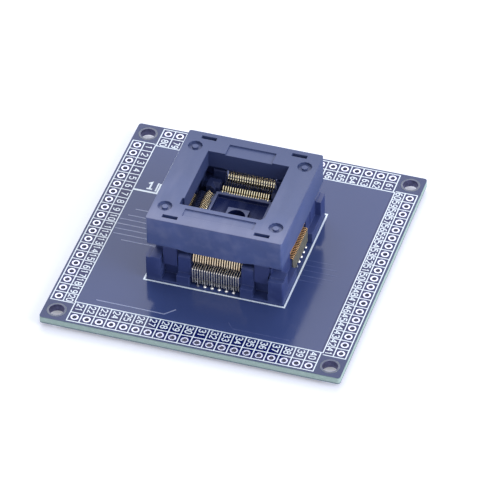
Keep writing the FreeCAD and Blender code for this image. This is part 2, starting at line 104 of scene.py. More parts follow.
class Shape:
    """Collects faces in millimetres and turns them into one object."""

    def __init__(self):
        self.points = []
        self.faces = []
        self.slots = []

    def add(self, points, faces, slot=0):
        start = len(self.points)
        self.points += [tuple(p) for p in points]
        self.faces += [[start + i for i in f] for f in faces]
        self.slots += [slot] * len(faces)

    def rings(self, rings, start_cap=False, end_cap=False, slot=0, cap_slot=None):
        """Skin over closed rings of points, with a face over the first and the last if asked."""
        n = len(rings[0])
        faces = []
        for a in range(len(rings) - 1):
            for b in range(n):
                c = (b + 1) % n
                faces.append([a * n + b, a * n + c, (a + 1) * n + c, (a + 1) * n + b])
        if start_cap:
            faces.append(list(range(n - 1, -1, -1)))
        if end_cap:
            last = (len(rings) - 1) * n
            faces.append([last + i for i in range(n)])
        self.add([p for ring in rings for p in ring], faces, slot)
        if cap_slot is not None:
            for i in range(int(start_cap) + int(end_cap)):
                self.slots[-1 - i] = cap_slot

    def turned(self, profile, x, y, sides, slot=0):
        """Profile of (radius, height) turned about an upright line, open at both ends."""
        self.rings([circle(x, y, z, r, sides) for r, z in profile], slot=slot)

    def slab(self, x0, x1, y0, y1, z0, z1):
        """Plate with a narrow sloping edge."""
        e = min(PLATE_SLOPE, z1 - z0)
        low = [(x0, y0, z0), (x1, y0, z0), (x1, y1, z0), (x0, y1, z0)]
        high = [(x0 + e, y0 + e, z1), (x1 - e, y0 + e, z1),
                (x1 - e, y1 - e, z1), (x0 + e, y1 - e, z1)]
        self.rings([low, high], end_cap=True)

    def stroke(self, path, width, z0, z1, closed=False, slot=0):
        """Flat line of even width along a path, with mitred corners and sloping sides."""
        n = len(path)
        left, right = [], []
        for i, (x, y) in enumerate(path):
            before = path[i - 1] if (i > 0 or closed) else None
            after = path[(i + 1) % n] if (i < n - 1 or closed) else None
            normals = []
            for a, b in ((before, (x, y)), ((x, y), after)):
                if a is not None and b is not None:
                    d = Vector((b[0] - a[0], b[1] - a[1])).normalized()
                    normals.append(Vector((-d.y, d.x)))
            m = sum(normals, Vector((0, 0))).normalized()
            shift = m * (width / 2 / max(MITRE, m.dot(normals[0])))
            left.append((x + shift.x, y + shift.y))
            right.append((x - shift.x, y - shift.y))
        count = n if closed else n - 1
        for i in range(count):
            j = (i + 1) % n
            a, b, c, d = right[i], right[j], left[j], left[i]
            start, end = between(a, d, 0.5), between(b, c, 0.5)
            high = [between(p, q, INK_SLOPE) for p, q in ((a, start), (b, end), (c, end), (d, start))]
            faces = [[4, 5, 6, 7], [0, 1, 5, 4], [2, 3, 7, 6]]
            if not closed and i == 0:
                faces.append([3, 0, 4, 7])
            if not closed and i == count - 1:
                faces.append([1, 2, 6, 5])
            self.add([(*p, z0) for p in (a, b, c, d)] + [(*p, z1) for p in high], faces, slot)

    def strip(self, outline, half, at, side, edge=0.03, flank=None):
        """Flat stamped strip: outline of (radius, height), set on edge at a place along one side.
        Its two flat flanks can have a slot of their own."""
        nx, ny = SIDES[side]
        tx, ty = -ny, nx
        inner = inset(outline, edge)
        rings = []
        for loop, t in ((inner, at - half), (outline, at - half + edge),
                        (outline, at + half - edge), (inner, at + half)):
            rings.append([(r * nx + t * tx, r * ny + t * ty, z) for r, z in loop])
        self.rings(rings, True, True, cap_slot=flank)

    def tube(self, path, radius, sides):
        """Round wire along a path, narrower at its two ends."""
        rings = []
        for i, p in enumerate(path):
            a = Vector(path[max(0, i - 1)])
            b = Vector(path[min(len(path) - 1, i + 1)])
            d = (b - a).normalized()
            u = Vector((0, 0, 1)).cross(d).normalized()
            v = d.cross(u)
            r = radius * (0.55 if i in (0, len(path) - 1) else 1.0)
            turns = [2 * math.pi * k / sides for k in range(sides)]
            rings.append([tuple(Vector(p) + r * (math.cos(t) * u + math.sin(t) * v)) for t in turns])
        self.rings(rings, True, True)

    def build(self, name, materials, angle=35.0):
        """One object of all faces, smooth but for edges sharper than the angle in degrees."""
        mesh = bpy.data.meshes.new(name)
        points = [(x * MM, y * MM, (z + LIFT) * MM) for x, y, z in self.points]
        mesh.from_pydata(points, [], self.faces)
        mesh.update()
        bm = bmesh.new()
        bm.from_mesh(mesh)
        bmesh.ops.recalc_face_normals(bm, faces=bm.faces)
        bm.to_mesh(mesh)
        bm.free()
        for m in materials:
            mesh.materials.append(m)
        for poly, slot in zip(mesh.polygons, self.slots):
            poly.material_index = slot
        mesh.shade_smooth()
        mesh.set_sharp_from_angle(angle=math.radians(angle))
        made = bpy.data.objects.new(name, mesh)
        bpy.context.scene.collection.objects.link(made)
        return made


def inset(loop, distance):
    """Closed outline moved inwards by a short distance."""
    area = sum(a[0] * b[1] - b[0] * a[1] for a, b in zip(loop, loop[1:] + loop[:1]))
    turn = 1.0 if area > 0 else -1.0
    moved = []
    for i, (x, y) in enumerate(loop):
        px, py = loop[i - 1]
        qx, qy = loop[(i + 1) % len(loop)]
        a = Vector((x - px, y - py)).normalized()
        b = Vector((qx - x, qy - y)).normalized()
        na, nb = Vector((-a.y, a.x)) * turn, Vector((-b.y, b.x)) * turn
        m = (na + nb).normalized()
        shift = m * distance / max(MITRE, m.dot(na))
        moved.append((x + shift.x, y + shift.y))
    return moved


def rounded(loop, radius, steps=3):
    """Closed outline with its corners rounded. Radius is one number, or one for each corner."""
    made = []
    n = len(loop)
    # most of an edge that one corner may take
    share = 0.45
    for i in range(n):
        r = radius[i] if isinstance(radius, (list, tuple)) else radius
        p, c, q = Vector(loop[i - 1]), Vector(loop[i]), Vector(loop[(i + 1) % n])
        if r <= 0:
            made.append(tuple(c))
            continue
        a = c + (p - c).normalized() * min(r, share * (p - c).length)
        b = c + (q - c).normalized() * min(r, share * (q - c).length)
        for k in range(steps + 1):
            t = k / steps
            made.append(tuple((1 - t) ** 2 * a + 2 * t * (1 - t) * c + t * t * b))
    return made


# Materials. Colours are written as they are seen, from 0 to 255.

def srgb(r, g, b):
    """Seen colour as the numbers that a shader takes."""
    made = []
    for v in (r, g, b):
        v = v / 255.0
        made.append(v / 12.92 if v <= 0.04045 else ((v + 0.055) / 1.055) ** 2.4)
    return (*made, 1.0)


def dimmed(colour, share):
    """Shader colour at a share of its brightness."""
    return (*(v * share for v in colour[:3]), 1.0)


class Nodes:
    """Node tree that is built from nothing."""

    def __init__(self, tree):
        self.tree = tree
        tree.nodes.clear()

    def node(self, kind, **settings):
        made = self.tree.nodes.new(kind)
        for key, value in settings.items():
            setattr(made, key, value)
        return made

    def link(self, a, b):
        self.tree.links.new(a, b)

    def feed(self, socket, value):
        """Another socket's value, a number or a colour into a socket."""
        if isinstance(value, bpy.types.NodeSocket):
            self.link(value, socket)
        else:
            socket.default_value = value

    def ramp(self, value, low, high, to_low, to_high):
        """Numbers between low and high carried to another range."""
        made = self.node("ShaderNodeMapRange")
        made.inputs["From Min"].default_value = low
        made.inputs["From Max"].default_value = high
        made.inputs["To Min"].default_value = to_low
        made.inputs["To Max"].default_value = to_high
        self.link(value, made.inputs["Value"])
        return made.outputs[0]

    def math(self, operation, a, b=0.0):
        made = self.node("ShaderNodeMath", operation=operation)
        self.feed(made.inputs[0], a)
        self.feed(made.inputs[1], b)
        return made.outputs[0]

    def mix(self, share, a, b):
        """Mix of two colours."""
        made = self.node("ShaderNodeMix", data_type="RGBA")
        self.link(share, made.inputs[0])
        self.feed(made.inputs[6], a)
        self.feed(made.inputs[7], b)
        return made.outputs[2]

    def seen_directly(self):
        """1 for rays of the camera, of gloss and through glass, and 0 for light on the object."""
        path = self.node("ShaderNodeLightPath")
        seen = self.math("MAXIMUM", path.outputs["Is Camera Ray"], path.outputs["Is Glossy Ray"])
        return self.math("MAXIMUM", seen, path.outputs["Is Transmission Ray"])


class Look(Nodes):
    """One procedural material."""

    def __init__(self, name):
        self.mat = bpy.data.materials.new(name)
        self.mat.use_nodes = True
        super().__init__(self.mat.node_tree)
        out = self.node("ShaderNodeOutputMaterial")
        self.shader = self.node("ShaderNodeBsdfPrincipled")
        self.link(self.shader.outputs[0], out.inputs[0])
        self.place = self.node("ShaderNodeTexCoord").outputs["Object"]

    def set(self, **values):
        for key, value in values.items():
            self.shader.inputs[key.replace("_", " ")].default_value = value

    def paint(self, tone, rough):
        self.link(tone, self.shader.inputs["Base Color"])
        self.link(rough, self.shader.inputs["Roughness"])

    def parts(self, vector):
        """The three numbers of a vector."""
        made = self.node("ShaderNodeSeparateXYZ")
        self.link(vector, made.inputs[0])
        return made.outputs

    def facing_up(self):
        """Upright part of a face's direction: 1 looks up, 0 is a wall."""
        geometry = self.node("ShaderNodeNewGeometry")
        return self.parts(geometry.outputs["True Normal"])[2]

    def reach(self, x, y):
        """Distance from the middle, the same along a square."""
        return self.math("MAXIMUM", self.math("ABSOLUTE", x), self.math("ABSOLUTE", y))

    def noise(self, size_mm, detail=3.0, rough=0.55, stretch=None):
        """Noise with features of about that size."""
        made = self.node("ShaderNodeTexNoise")
        made.inputs["Scale"].default_value = 1000.0 / size_mm
        made.inputs["Detail"].default_value = detail
        made.inputs["Roughness"].default_value = rough
        place = self.place
        if stretch:
            mapping = self.node("ShaderNodeMapping")
            mapping.inputs["Scale"].default_value = stretch
            self.link(place, mapping.inputs["Vector"])
            place = mapping.outputs[0]
        self.link(place, made.inputs["Vector"])
        return made.outputs[0]

    def edges(self, radius_mm):
        """Share that is high along edges, for wear, and the normal of the softened edges."""
        soft = self.node("ShaderNodeBevel", samples=6)
        soft.inputs["Radius"].default_value = radius_mm * MM
        hard = self.node("ShaderNodeNewGeometry")
        dot = self.node("ShaderNodeVectorMath", operation="DOT_PRODUCT")
        self.link(soft.outputs[0], dot.inputs[0])
        self.link(hard.outputs["Normal"], dot.inputs[1])
        return self.math("SUBTRACT", 1.0, dot.outputs["Value"]), soft.outputs[0]

    def bump(self, height, strength, depth_mm, normal=None):
        made = self.node("ShaderNodeBump")
        made.inputs["Strength"].default_value = strength
        made.inputs["Distance"].default_value = depth_mm * MM
        self.link(height, made.inputs["Height"])
        if normal is not None:
            self.link(normal, made.inputs["Normal"])
        self.link(made.outputs[0], self.shader.inputs["Normal"])


# the cover from front to back (painted shade darkens its back), the strip along its front (a painted
# highlight on its top), and the walls of its opening (painted shade)
COVER_DEPTH = (-0.0125, 0.014)
COVER_FRONT = (-0.0125, -0.0085)
OPENING = (0.009, 0.0094)
# the inside of the socket base, where painted shade darkens it
INSIDE = (0.0096, 0.0101)
# height over which the painted shade low on the cover fades in
LOW_SHADE_FADE = 0.0008
PALER_FADE = 0.00005
EDGE_WEAR_MM = 0.16


def moulded_plastic(name, base, worn_and_lit, grain_mm, rough, gloss, paler_above=None, back_shade=None,
                    back_rough=0.0, low_shade=None, deep_shade=None, front_highlight=0.0, wall_shade=None):
    """Dark moulded plastic with eroded grain, faint flow marks and paler edges. Faces above a height
    can be paler. Painted shade can darken the tone towards the back, below a height, deep inside
    the socket and on the walls of the opening, and a painted highlight can pale the top faces
    along the front."""
    look = Look(name)
    base, worn_and_lit = srgb(*base), srgb(*worn_and_lit)
    large = look.noise(6.0, 3.0)
    fine = look.noise(grain_mm, 4.0, 0.6)
    flow = look.noise(2.5, 2.0, 0.5, (1.0, 0.25, 1.0))
    x, y, z = look.parts(look.place)
    tone = look.mix(look.ramp(large, 0.35, 0.65, 0.0, 1.0), dimmed(base, 0.86), base)
    tone = look.mix(look.ramp(flow, 0.45, 0.7, 0.0, 0.25), tone, worn_and_lit)
    rim, soft = look.edges(EDGE_WEAR_MM)
    broken = look.math("MULTIPLY", look.ramp(rim, 0.01, 0.16, 0.0, 1.0),
                       look.ramp(fine, 0.3, 0.7, 0.35, 0.9))
    tone = look.mix(broken, tone, worn_and_lit)
    # faces above a height take the paler tone
    if paler_above is not None:
        paler_top = look.ramp(z, paler_above, paler_above + PALER_FADE, 0.0, 1.0)
        paler_top = look.math("MULTIPLY", paler_top, look.ramp(large, 0.3, 0.7, 0.6, 1.0))
        tone = look.mix(paler_top, tone, worn_and_lit)
    rough = look.ramp(fine, 0.3, 0.7, *rough)
    # painted shade: the tone darkens towards the back
    if back_shade is not None:
        rear_shade = look.ramp(y, *COVER_DEPTH, 0.0, 1.0)
        tone = look.mix(rear_shade, tone, dimmed(base, back_shade))
        rough = look.math("ADD", rough, look.math("MULTIPLY", rear_shade, back_rough))
    # painted shade: the tone is darker below a height
    if low_shade is not None:
        level, colour = low_shade
        low = look.ramp(z, level, level + LOW_SHADE_FADE, 1.0, 0.0)
        tone = look.mix(low, tone, srgb(*colour))
    # painted shade deep inside the socket
    if deep_shade is not None:
        shaded_deep = look.ramp(look.reach(x, y), *INSIDE, 1.0, 0.0)
        tone = look.mix(shaded_deep, tone, dimmed(base, deep_shade))
    if wall_shade is not None:
        level = look.ramp(look.facing_up(), 0.5, 0.9, 0.0, 1.0)
        # painted highlight: the top faces along the front take the paler tone
        front = look.ramp(y, *COVER_FRONT, front_highlight, 0.0)
        tone = look.mix(look.math("MULTIPLY", front, level), tone, worn_and_lit)
        # painted shade on the walls of the opening
        shaded_wall = look.math("MULTIPLY", look.ramp(look.reach(x, y), *OPENING, 1.0, 0.0),
                         look.math("SUBTRACT", 1.0, level))
        tone = look.mix(shaded_wall, tone, srgb(*wall_shade))
    look.paint(tone, rough)
    look.set(IOR=1.52, Specular_IOR_Level=gloss)
    look.bump(fine, 0.35, 0.02, soft)
    return look.mat


# rolling marks run down the contacts, and other metal has none
ROLLED = (1.0, 1.0, 0.2)
EVEN = (1.0, 1.0, 1.0)
# height at which the contacts' legs bend into their runs, which take painted light and shade
RUN_LEVEL = (0.0063, 0.0066)


def stamped_metal(name, base, stain, rough, stretch=ROLLED, stained=0.8, metallic=1.0, run_light_and_shade=None):
    """Plated metal with fine marks and slight staining. Lit copies of the contact gold are less
    metallic.
    The runs of the contacts, above their legs, can take painted light and shade of their own."""
    look = Look(name)
    marks = look.noise(0.25, 3.0, 0.6, stretch)
    patches = look.noise(0.9, 3.0)
    tone = look.mix(look.ramp(patches, 0.45, 0.75, 0.0, stained), srgb(*base), srgb(*stain))
    if run_light_and_shade:
        height = look.parts(look.place)[2]
        tone = look.mix(look.ramp(height, *RUN_LEVEL, 0.0, 1.0), tone, srgb(*run_light_and_shade))
    look.paint(tone, look.ramp(marks, 0.3, 0.7, *rough))
    look.set(Metallic=metallic)
    look.bump(marks, 0.25, 0.006)
    return look.mat


# bands of the board: from the open middle to the numbered cells, and from those to the bare rim
CELLS = (0.0252, 0.0256)
RIM = (0.0304, 0.0306)
# heights in the board: under the top face, where the cut edge darkens at its top, and where painted
# shadow darkens its bottom
UPPER_HALF = (0.0015, 0.002)
EDGE_TOP = (0.00222, 0.0025)
EDGE_BOTTOM_SHADOW = (0.0009, 0.0013)
MASK = {"IOR": 1.5, "Specular_IOR_Level": 0.28}


def make_board_look():
    """Glossy solder mask over copper and, in the outer band, over bare glass weave. The laminate
    shows at the cut edges, with painted shadow along their bottom."""
    look = Look("board_mask")
    x, y, z = look.parts(look.place)
    far = look.reach(x, y)
    near = look.math("MINIMUM", look.math("ABSOLUTE", x), look.math("ABSOLUTE", y))
    band = look.ramp(far, *CELLS, 0.0, 1.0)
    cells = look.math("MULTIPLY", band, look.ramp(near, *CELLS, 1.0, 0.0))
    cells = look.math("MULTIPLY", cells, look.ramp(far, *RIM, 1.0, 0.0))
    cells = look.math("MULTIPLY", cells, look.ramp(z, *UPPER_HALF, 0.0, 1.0))
    cloud = look.noise(7.0, 3.0)
    tone = look.mix(band, srgb(56, 71, 122), srgb(42, 56, 106))
    tone = look.mix(look.ramp(cloud, 0.4, 0.7, 0.0, 0.25), tone, srgb(60, 74, 126))
    tone = look.mix(cells, tone, srgb(2, 18, 92))
    cut = look.ramp(look.math("ABSOLUTE", look.facing_up()), 0.3, 0.6, 1.0, 0.0)
    layers = look.noise(0.35, 3.0, 0.6, (0.35, 0.35, 3.0))
    fibres = look.noise(0.12, 2.0, 0.6)
    laminate = look.mix(look.ramp(layers, 0.35, 0.65, 0.0, 1.0),
                        srgb(152, 178, 173), srgb(180, 202, 196))
    laminate = look.mix(look.ramp(fibres, 0.55, 0.75, 0.0, 0.5), laminate, srgb(208, 220, 212))
    laminate = look.mix(look.ramp(z, *EDGE_TOP, 0.0, 0.85), laminate, srgb(60, 80, 110))
    # painted shadow along the bottom of the cut edge, where the board nears the floor
    laminate = look.mix(look.ramp(z, *EDGE_BOTTOM_SHADOW, 0.95, 0.0), laminate, srgb(78, 94, 122))
    tone = look.mix(cut, tone, laminate)
    ripple = look.noise(0.9, 2.0, 0.5)
    weave = look.noise(0.3, 2.0, 0.5)
    glossy = look.ramp(look.noise(4.0, 4.0, 0.6), 0.35, 0.7, 0.11, 0.17)
    rough = look.node("ShaderNodeMix", data_type="FLOAT")
    look.link(cut, rough.inputs[0])
    look.link(glossy, rough.inputs[2])
    rough.inputs[3].default_value = 0.7
    look.paint(tone, rough.outputs[0])
    look.set(**MASK)
    torn = look.math("MULTIPLY", weave, look.math("MULTIPLY", cut, 3.0))
    look.bump(look.math("ADD", ripple, torn), 0.12, 0.012)
    return look.mat


def make_track_look(name, low, high):
    """Solder mask where it rises over copper."""
    look = Look(name)
    cloud = look.ramp(look.noise(1.5, 3.0), 0.4, 0.7, 0.0, 1.0)
    tone = look.mix(cloud, srgb(*low), srgb(*high))
    look.paint(tone, look.ramp(look.noise(2.0), 0.35, 0.7, 0.12, 0.2))
    look.set(**MASK)
    look.bump(look.noise(0.9, 2.0), 0.1, 0.01)
    return look.mat


def make_print_look():
    """White legend ink: slightly uneven, with tiny pits."""
    look = Look("legend_ink")
    thin = look.noise(0.35, 4.0, 0.6)
    pits = look.noise(0.09, 3.0, 0.6)
    tone = look.mix(look.ramp(thin, 0.55, 0.8, 0.0, 0.4), srgb(224, 238, 255), srgb(194, 216, 252))
    look.paint(tone, look.ramp(pits, 0.3, 0.7, 0.36, 0.52))
    look.set(Specular_IOR_Level=1.0)
    look.bump(pits, 0.3, 0.01)
    return look.mat


# the cover takes painted shade towards its back, below a height and on the walls of its opening, and
# a painted highlight along the front of its top
cover_plastic = moulded_plastic(
    "cover_plastic", (69, 86, 140), (122, 128, 166), 0.12, (0.4, 0.54), 0.54,
    back_shade=0.72, back_rough=0.12, low_shade=(0.0106, (48, 60, 112)), front_highlight=0.45,
    wall_shade=(52, 66, 114))
# the base takes painted shade deep inside the socket
base_plastic = moulded_plastic(
    "base_plastic", (55, 69, 125), (88, 102, 156), 0.14, (0.4, 0.54), 0.34, deep_shade=0.5)
# the seat's dark tone paints the shade inside the opening; its faces above a height are paler
seat_plastic = moulded_plastic(
    "seat_plastic", (30, 44, 100), (128, 138, 180), 0.12, (0.24, 0.36), 0.34, paler_above=0.01055)
board_mask = make_board_look()
track_mask = make_track_look("mask_over_track", (132, 144, 184), (150, 158, 194))
faint_mask = make_track_look("mask_over_buried_track", (64, 78, 130), (76, 90, 140))
rim_mask = make_track_look("mask_over_rim", (92, 102, 124), (112, 118, 134))
legend_ink = make_print_look()

# name: colour, stain, lowest and highest roughness, and what differs from rolled metal
METALS = {
    "tinned_copper": ((184, 188, 210), (160, 164, 188), (0.26, 0.42), {"stretch": EVEN}),
    "hole_plating": ((188, 188, 206), (138, 138, 156), (0.4, 0.6), {"stretch": EVEN}),
    "corner_hole_plating": ((110, 110, 144), (76, 78, 108), (0.35, 0.5), {"stretch": EVEN}),
    "solder": ((252, 252, 255), (230, 232, 242), (0.2, 0.36), {"stretch": EVEN}),
    # darker solder that paints the shade on a few joints
    "shaded_solder": ((120, 124, 140), (84, 90, 110), (0.4, 0.6), {"stretch": EVEN}),
    "spring_steel": ((202, 204, 212), (160, 160, 172), (0.22, 0.36), {"stretch": EVEN}),
    # lit and shaded copies of one gold plating, one for the arms of each side, paint how light falls
    # on that side: darker on the front, orange and less metallic on the right, pale and less metallic
    # on the left
    "contact_gold": ((255, 246, 216), (236, 206, 150), (0.13, 0.24), {"stained": 0.6}),
    "contact_gold_front": ((238, 218, 186), (212, 172, 118), (0.16, 0.3), {"stained": 0.6}),
    "contact_gold_side": ((255, 206, 140), (226, 160, 92), (0.3, 0.44),
                          {"stained": 0.6, "metallic": 0.5}),
    "contact_gold_left": ((255, 236, 200), (255, 214, 150), (0.3, 0.42),
                          {"stained": 0.6, "metallic": 0.3}),
    # arm flanks: the dark ones paint the shade in the gaps between contacts, and the orange ones the
    # light on the right side's flanks
    "contact_flank": ((78, 62, 46), (56, 46, 36), (0.3, 0.45), {}),
    "contact_flank_lit": ((255, 184, 100), (220, 146, 74), (0.35, 0.5), {"metallic": 0.4}),
    "contact_flank_shaded_left": ((84, 66, 50), (60, 48, 38), (0.26, 0.4), {}),
    # tails: the sideways copy, for the right and left, is a darker shaded copy, and its runs take
    # painted light above the legs
    "contact_tail_gold": ((250, 246, 240), (222, 216, 206), (0.36, 0.5), {}),
    "contact_tail_gold_side": ((186, 184, 170), (148, 146, 134), (0.46, 0.6),
                               {"metallic": 0.7, "run_light_and_shade": (226, 188, 140)}),
    # tail flanks: the dark ones paint the shade in the gaps between contacts; the paler, less
    # metallic sideways copy paints the light on them, with painted shade on the runs
    "contact_tail_flank": ((54, 54, 62), (40, 40, 50), (0.3, 0.45), {}),
    "contact_tail_flank_lit": ((136, 134, 120), (106, 104, 94), (0.4, 0.55),
                                  {"metallic": 0.6, "run_light_and_shade": (84, 66, 58)}),
}
metal = {
    name: stamped_metal(name, base, stain, rough, **others)
    for name, (base, stain, rough, others) in METALS.items()
}
# metals of a side's contacts: arm and its flanks, fixed half and its flanks. Each side takes its own
# lit and shaded copies of the gold, which paint how light falls on it.
FACING = ("contact_tail_gold", "contact_tail_flank")
SIDEWAYS = ("contact_tail_gold_side", "contact_tail_flank_lit")
CONTACT_METALS = {
    "front": ("contact_gold_front", "contact_flank", *FACING),
    "right": ("contact_gold_side", "contact_flank_lit", *SIDEWAYS),
    "back": ("contact_gold", "contact_flank", *FACING),
    "left": ("contact_gold_left", "contact_flank_shaded_left", *SIDEWAYS),
}


# Nodes that keep their solids

def dress(name, look, edge_mm=None):
    """CAD node with a better material and, if asked, its sharp edges broken."""
    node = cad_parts[name]
    materials = node.data.materials
    if not materials:
        materials.append(look)
    for i in range(len(materials)):
        materials[i] = look
    if edge_mm:
        weld = node.modifiers.new("join", "WELD")
        weld.merge_threshold = 1e-6
        bevel = node.modifiers.new("edge", "BEVEL")
        bevel.width = edge_mm * MM
        bevel.segments = 2
        bevel.limit_method = "ANGLE"
        bevel.angle_limit = math.radians(35)


dress("socket_cover", cover_plastic, 0.12)
dress("socket_base", base_plastic, 0.1)
dress("chip_seat", seat_plastic, 0.08)
dress("circuit_board", board_mask)


# Board dressing

INK = 0.022
# what crosses or touches lies one layer higher, so that no two faces share a plane
LAYER = 0.003
LINE_HALF = 0.12
# cells of the header rows: ends, outer line and middle line, and the inner line of each side
ROW_END = 25.4
OUTER_LINE = -30.48
MIDDLE_LINE = -27.94
INNER_LINES = (24.9, 25.77, 25.05, 25.53)
# lines through the numbers of the left, front, right and back rows
NUMBER_LINES = (-26.72, -26.3, 26.78, 26.3)
SOCKET_OUTLINE = 14.6


def turned_place(x, y, quarter):
    """Place on the board turned by quarter turns about its middle."""
    for _ in range(quarter):
        x, y = -y, x
    return x, y


def print_cells(shape, quarter):
    """Lines round the numbers and holes of one header row."""
    top = INK + LAYER * (quarter % 2)
    inner = -INNER_LINES[quarter]

    def line(x0, x1, y0, y1):
        a = turned_place(x0, y0, quarter)
        b = turned_place(x1, y1, quarter)
        shape.slab(min(a[0], b[0]), max(a[0], b[0]), min(a[1], b[1]), max(a[1], b[1]), 0.0, top)

    for place in (OUTER_LINE, MIDDLE_LINE):
        line(-ROW_END - LINE_HALF, ROW_END + LINE_HALF, place - LINE_HALF, place + LINE_HALF)
    line(-INNER_LINES[quarter - 1] - LINE_HALF, INNER_LINES[(quarter + 1) % 4] + LINE_HALF,
         inner - LINE_HALF, inner + LINE_HALF)
    for k in range(HOLES + 1):
        x = -ROW_END + PITCH * k
        line(x - LINE_HALF, x + LINE_HALF, OUTER_LINE + LINE_HALF, MIDDLE_LINE - LINE_HALF)
        line(x - LINE_HALF, x + LINE_HALF, MIDDLE_LINE + LINE_HALF, inner - LINE_HALF)


def make_legend():
    """White lines, numbers and marks printed on the board."""
    shape = Shape()
    for quarter in range(4):
        print_cells(shape, quarter)
    r = SOCKET_OUTLINE
    shape.stroke([(-r, -r), (r, -r), (r, r), (-r, r)], 0.37, 0.0, INK, True)
    # mark of the first contact: its corner, a bar, a thin line to the back, and a 1 with its foot
    for path, width, layers in (
            ([(-25.4, 10.8), (-20.45, 10.8), (-20.45, 13.8)], 0.5, 2),
            ([(-21.0, 11.3), (-21.0, 13.9)], 0.34, 1),
            ([(-20.3, 13.8), (-20.3, 24.9)], 0.11, 0),
            ([(-23.0, 13.35), (-22.4, 13.8), (-22.4, 11.75)], 0.42, 0),
            ([(-23.0, 11.75), (-21.8, 11.75)], 0.4, 1)):
        shape.stroke(path, width, 0.0, INK + LAYER * layers)
    left, front, right, back = NUMBER_LINES
    for k in range(HOLES):
        place = FIRST_HOLE + PITCH * k
        number(shape, 20 - k, left, place)
        number(shape, 21 + k, place, front)
        number(shape, 41 + k, right, place)
        number(shape, 80 - k, place, back)
    made = shape.build("legend", [legend_ink])
    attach(made, "adapter")


# lines of each digit in a box of 1 by 1, and whether each is closed
LOOP_SIX = [(0.05, 0.3), (0.18, 0.07), (0.5, 0), (0.82, 0.07), (0.95, 0.3), (0.84, 0.52),
            (0.52, 0.6), (0.2, 0.52)]
HOOK_SIX = [(0.86, 0.95), (0.6, 1), (0.34, 0.93), (0.12, 0.68), (0.05, 0.32)]
DIGITS = {
    "0": [([(0.3, 0), (0.7, 0), (0.92, 0.18), (0.95, 0.5), (0.92, 0.82), (0.7, 1), (0.3, 1),
            (0.08, 0.82), (0.05, 0.5), (0.08, 0.18)], True)],
    "1": [([(0.2, 0.8), (0.52, 1.0), (0.52, 0.0)], False)],
    "2": [([(0.06, 0.76), (0.14, 0.92), (0.35, 1), (0.66, 1), (0.88, 0.9), (0.94, 0.72),
            (0.84, 0.52), (0.05, 0.02), (0.97, 0.02)], False)],
    "3": [([(0.05, 0.86), (0.28, 1), (0.7, 1), (0.92, 0.86), (0.92, 0.66), (0.7, 0.54),
            (0.4, 0.54)], False),
          ([(0.7, 0.54), (0.95, 0.38), (0.95, 0.15), (0.7, 0), (0.28, 0), (0.03, 0.15)], False)],
    "4": [([(0.74, 0), (0.74, 1)], False), ([(0.74, 1), (0.04, 0.3), (1.0, 0.3)], False)],
    "5": [([(0.9, 1), (0.14, 1), (0.1, 0.56), (0.38, 0.64), (0.7, 0.61), (0.95, 0.43),
            (0.95, 0.18), (0.7, 0), (0.3, 0), (0.04, 0.13)], False)],
    "6": [(HOOK_SIX, False), (LOOP_SIX, True)],
    "7": [([(0.03, 0.98), (0.95, 0.98), (0.4, 0)], False)],
    "8": [([(0.3, 0.54), (0.7, 0.54), (0.9, 0.67), (0.9, 0.87), (0.7, 1), (0.3, 1), (0.1, 0.87),
            (0.1, 0.67)], True),
          ([(0.3, 0.54), (0.7, 0.54), (0.97, 0.38), (0.97, 0.15), (0.7, 0), (0.3, 0),
            (0.03, 0.15), (0.03, 0.38)], True)],
    "9": [([(1 - u, 1 - v) for u, v in HOOK_SIX], False),
          ([(1 - u, 1 - v) for u, v in LOOP_SIX], True)],
}
DIGIT_STEP = 1.12
DIGIT_TALL = 1.32
DIGIT_WIDE = 0.84
DIGIT_LINE = 0.235


def number(shape, value, x, y):
    """Plain number in a cell. Its top is towards the right, and its first digit nearest the back."""
    text = str(value)
    for i, which in enumerate(text):
        middle = y - (i - (len(text) - 1) / 2) * DIGIT_STEP
        for layer, (path, closed) in enumerate(DIGITS[which], 1):
            points = [(x + (v - 0.5) * DIGIT_TALL, middle - (u - 0.5) * DIGIT_WIDE) for u, v in path]
            shape.stroke(points, DIGIT_LINE, 0.0, INK + LAYER * layer, closed)


# profiles of (radius, height over a face of the board), from the outside to the bore
RING = [(0.82, 0.0), (0.8, 0.03), (0.75, 0.04), (0.54, 0.04), (0.49, 0.02), (0.46, -0.03)]
CORNER_RIM = [(2.0, 0.0), (1.96, 0.03), (1.68, 0.03), (1.6, 0.0)]
CORNER_BORE = [(1.62, 0.034), (1.57, 0.03), (1.56, 0.0)]
CONE = [(0.37, 0.0), (0.36, 0.08), (0.3, 0.18), (0.19, 0.25), (0.1, 0.28)]
FILLET = [(0.42, 0.0), (0.41, 0.05), (0.3, 0.16), (0.2, 0.38), (0.14, 0.58), (0.1, 0.66)]


def under(profile):
    """The same profile on the board's underside, from the outside to the bore."""
    return [(r, -BOARD - z) for r, z in profile]


def make_header_rings():
    """Tinned rings and plated bores of the header holes."""
    shape = Shape()
    for quarter in range(4):
        for k in range(HOLES):
            x, y = turned_place(FIRST_HOLE + PITCH * k, -HEADER, quarter)
            shape.turned(RING, x, y, 24)
            shape.turned([RING[-1], under(RING)[-1]], x, y, 24, 1)
            shape.turned(under(RING)[::-1], x, y, 24)
    made = shape.build("header_rings", [metal["tinned_copper"], metal["hole_plating"]])
    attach(made, "adapter")


def make_corner_rims():
    """Low mask-covered rims and plated bores of the four corner holes."""
    shape = Shape()
    for x in (-CORNER_HOLE, CORNER_HOLE):
        for y in (-CORNER_HOLE, CORNER_HOLE):
            shape.turned(CORNER_RIM, x, y, 40)
            shape.turned(under(CORNER_RIM)[::-1], x, y, 40)
            shape.turned(CORNER_BORE + under(CORNER_BORE)[::-1], x, y, 40, 1)
    made = shape.build("corner_rims", [rim_mask, metal["corner_hole_plating"]])
    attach(made, "adapter")


